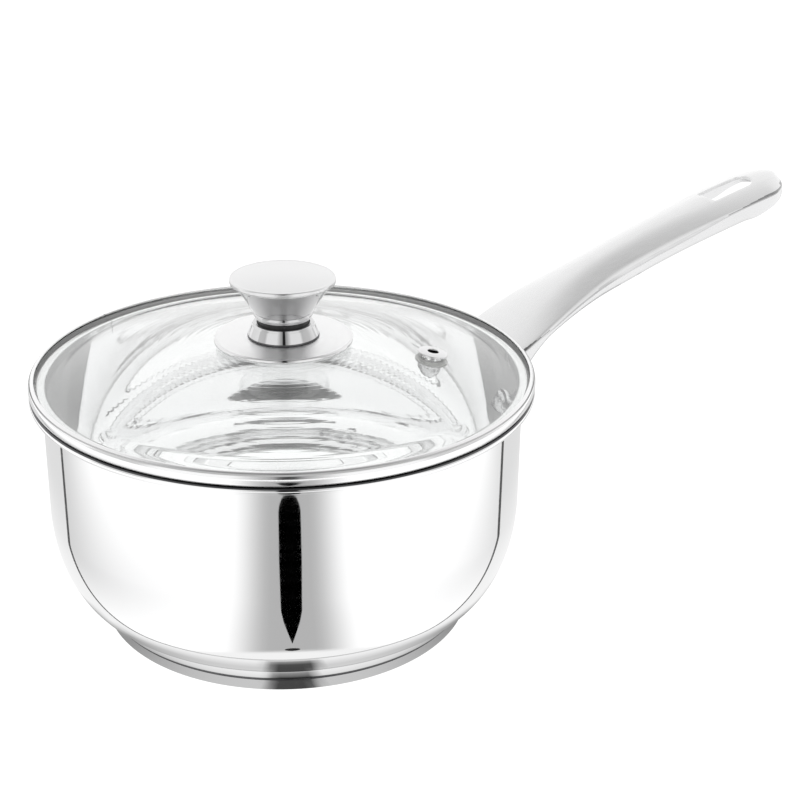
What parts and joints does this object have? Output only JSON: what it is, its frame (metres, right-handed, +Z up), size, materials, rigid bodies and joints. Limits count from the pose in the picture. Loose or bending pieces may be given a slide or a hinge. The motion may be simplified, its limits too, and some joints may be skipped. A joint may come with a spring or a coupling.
{
  "type": "saucepan with glass lid",
  "caption": "Small stainless saucepan with a round belly, a long arched channel handle with a hanging slot, and a lift-off domed glass lid with a knob and steam vent.",
  "frame": {"origin": "centre of the base's flat underside, where it rests on the hob", "axes": "+Z up along the pan's axis, +X along the handle from the pan to the handle's tip"},
  "size_m": [0.3149, 0.172, 0.1257],
  "materials": {
    "polished_steel": "mirror-polished stainless steel",
    "base_steel": "polished side, circular-brushed underside",
    "band_steel": "polished stainless strip",
    "handle_steel": "satin-polished stainless steel",
    "satin_steel": "plain stainless steel",
    "knob_steel": "polished stainless steel with fine turning lines",
    "cap_steel": "fine satin stainless steel",
    "aluminium_core": "plain aluminium",
    "lid_glass": "clear toughened glass",
    "silicone": "translucent white silicone",
    "black_plastic": "black moulded plastic"
  },
  "bodies": {
    "pan": {"pan_body": "polished_steel", "base_core": "aluminium_core", "base_capsule": "base_steel", "handle": "handle_steel", "handle_plate": "satin_steel", "rivet_left": "satin_steel", "rivet_right": "satin_steel"},
    "lid": {"lid_glass": "lid_glass", "lid_band": "band_steel", "vent_eyelet": "knob_steel", "vent_washer": "silicone", "knob_cap": "cap_steel", "knob_cone": "knob_steel", "knob_insert": "satin_steel", "knob_spacer": "black_plastic", "knob_collar": "knob_steel", "knob_skirt": "knob_steel", "knob_gasket_upper": "silicone", "knob_bush": "silicone", "knob_gasket_lower": "silicone", "knob_washer": "satin_steel", "knob_lock_washer": "satin_steel", "knob_screw": "satin_steel"}
  },
  "joints": [
    {"name": "lid_lift", "type": "slide", "parent": "pan", "child": "lid", "axis": [0, 0, 1], "range_m": [0, 0.12]}
  ]
}
